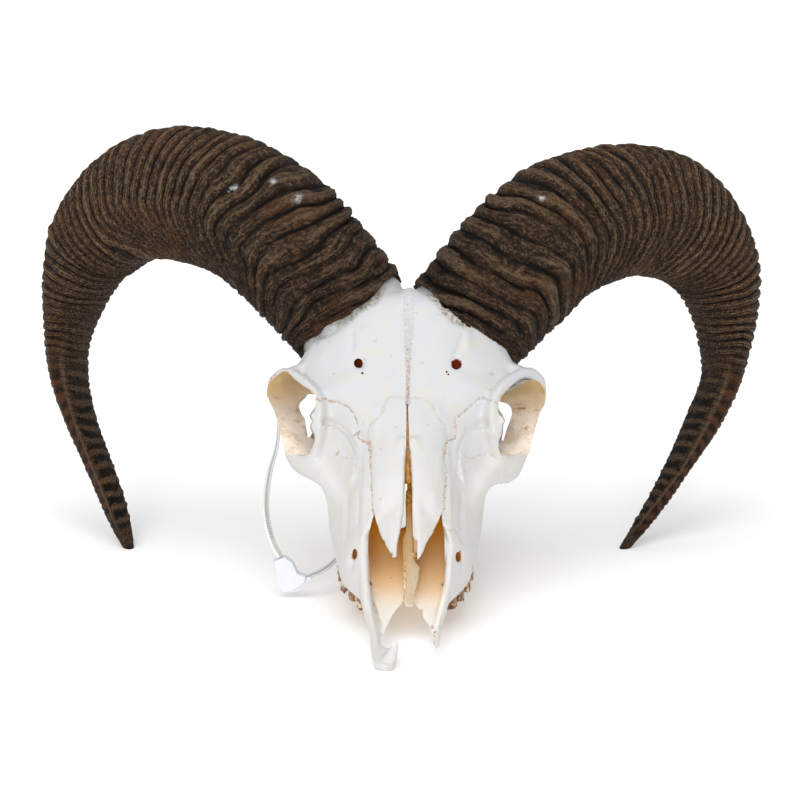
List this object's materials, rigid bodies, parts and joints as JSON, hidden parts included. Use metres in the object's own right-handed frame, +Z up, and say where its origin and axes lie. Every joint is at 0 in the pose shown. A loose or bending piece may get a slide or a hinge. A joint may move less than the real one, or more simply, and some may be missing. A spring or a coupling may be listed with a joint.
{
  "type": "mouflon ram skull with horns",
  "caption": "Mouflon ram's skull without its lower jaw, with ridged curling horn sheaths, cheek teeth and a plastic seal looped over one cheek bar, standing on nose and horn tips.",
  "frame": {"origin": "middle of the bottom of the whole skull's box, on the surface it stands on", "axes": "+X across the skull, towards the picture's right; +Y from the nose to the back of the head; +Z up"},
  "size_m": [0.3574, 0.271, 0.2045],
  "materials": {
    "bone": "matt bleached bone",
    "horn": "rough dry horn",
    "tooth": "stained enamel and dentine",
    "seal": "satin moulded white plastic"
  },
  "bodies": {
    "root": {"cranium": "bone", "horn_sheath_left": "horn", "horn_sheath_right": "horn", "tooth_left_1": "tooth", "tooth_left_2": "tooth", "tooth_left_3": "tooth", "tooth_left_4": "tooth", "tooth_left_5": "tooth", "tooth_left_6": "tooth", "tooth_right_1": "tooth", "tooth_right_2": "tooth", "tooth_right_3": "tooth", "tooth_right_4": "tooth", "tooth_right_5": "tooth", "tooth_right_6": "tooth", "seal_strap": "seal", "seal_head": "seal"}
  },
  "joints": []
}
